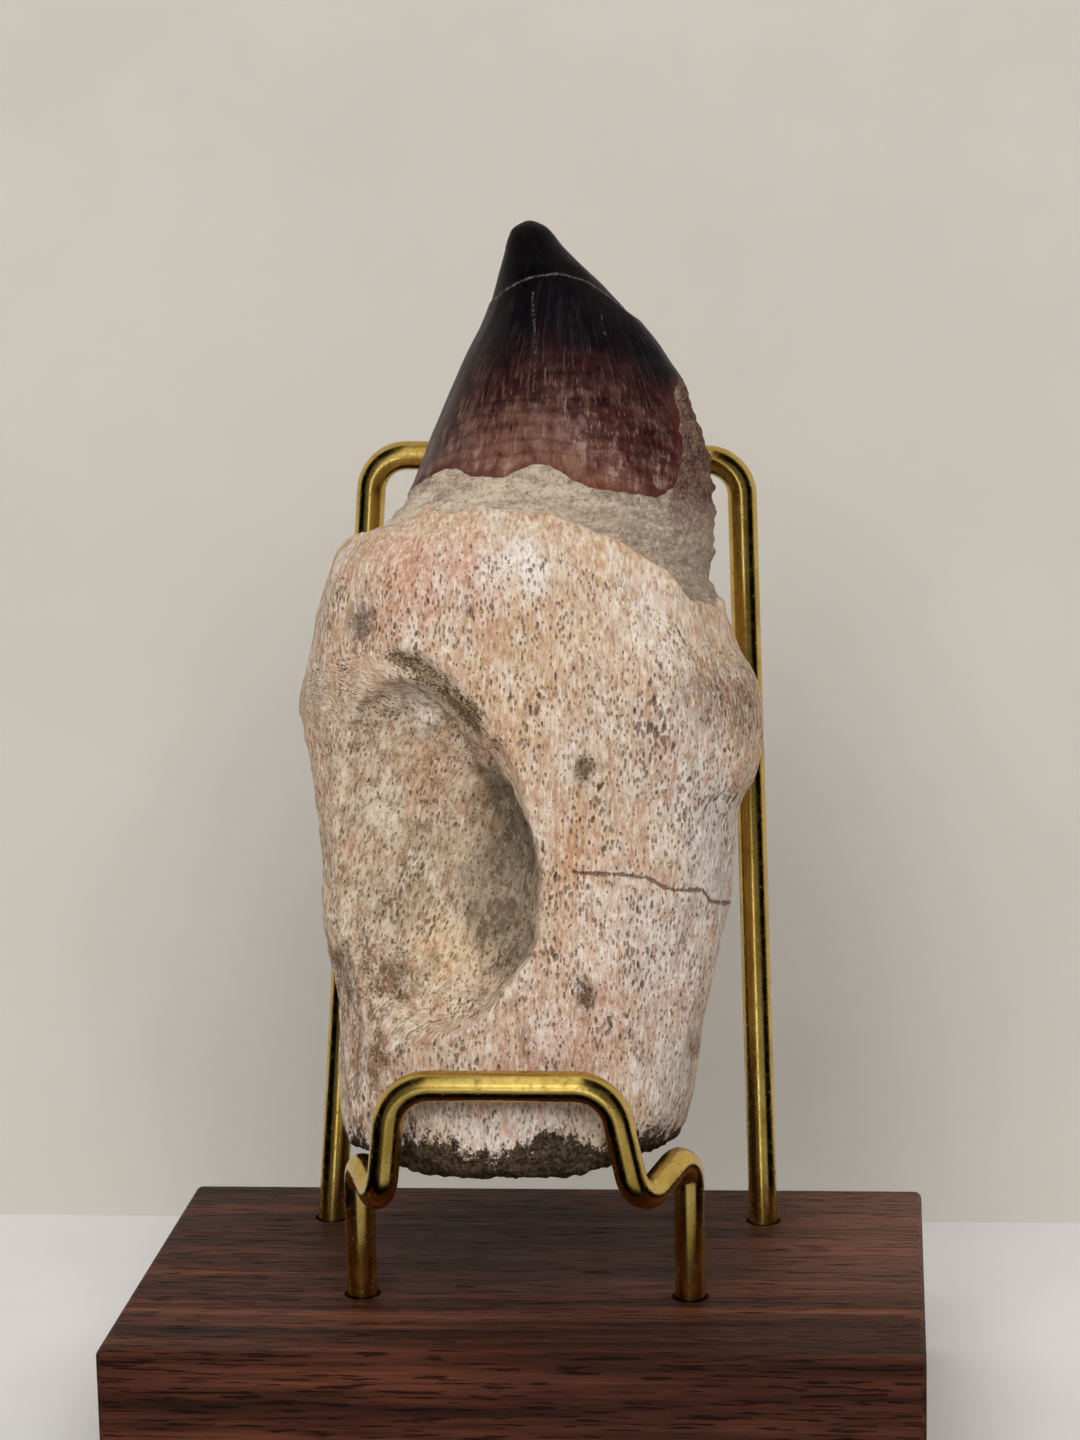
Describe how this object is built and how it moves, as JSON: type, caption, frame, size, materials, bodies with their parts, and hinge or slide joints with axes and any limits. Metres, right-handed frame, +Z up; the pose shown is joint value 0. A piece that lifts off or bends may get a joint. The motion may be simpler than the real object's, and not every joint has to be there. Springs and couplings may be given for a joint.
{
  "type": "fossil mosasaur tooth on a display stand",
  "caption": "Fossil mosasaur tooth with its root, leaning in a bent brass wire cradle on a walnut block.",
  "frame": {"origin": "centre of the walnut block's underside, where the piece stands", "axes": "+Z up along the standing tooth, +X to the viewer's right, -Y towards the viewer, who sees the tooth's hollowed face"},
  "size_m": [0.084, 0.054, 0.1302],
  "materials": {
    "fossil_tooth": "matt bone with a satin dark crown",
    "brass_wire": "polished, lightly tarnished",
    "walnut": "satin oiled"
  },
  "bodies": {
    "root": {"walnut_base": "walnut", "back_wire": "brass_wire", "front_wire": "brass_wire", "tooth": "fossil_tooth"}
  },
  "joints": []
}
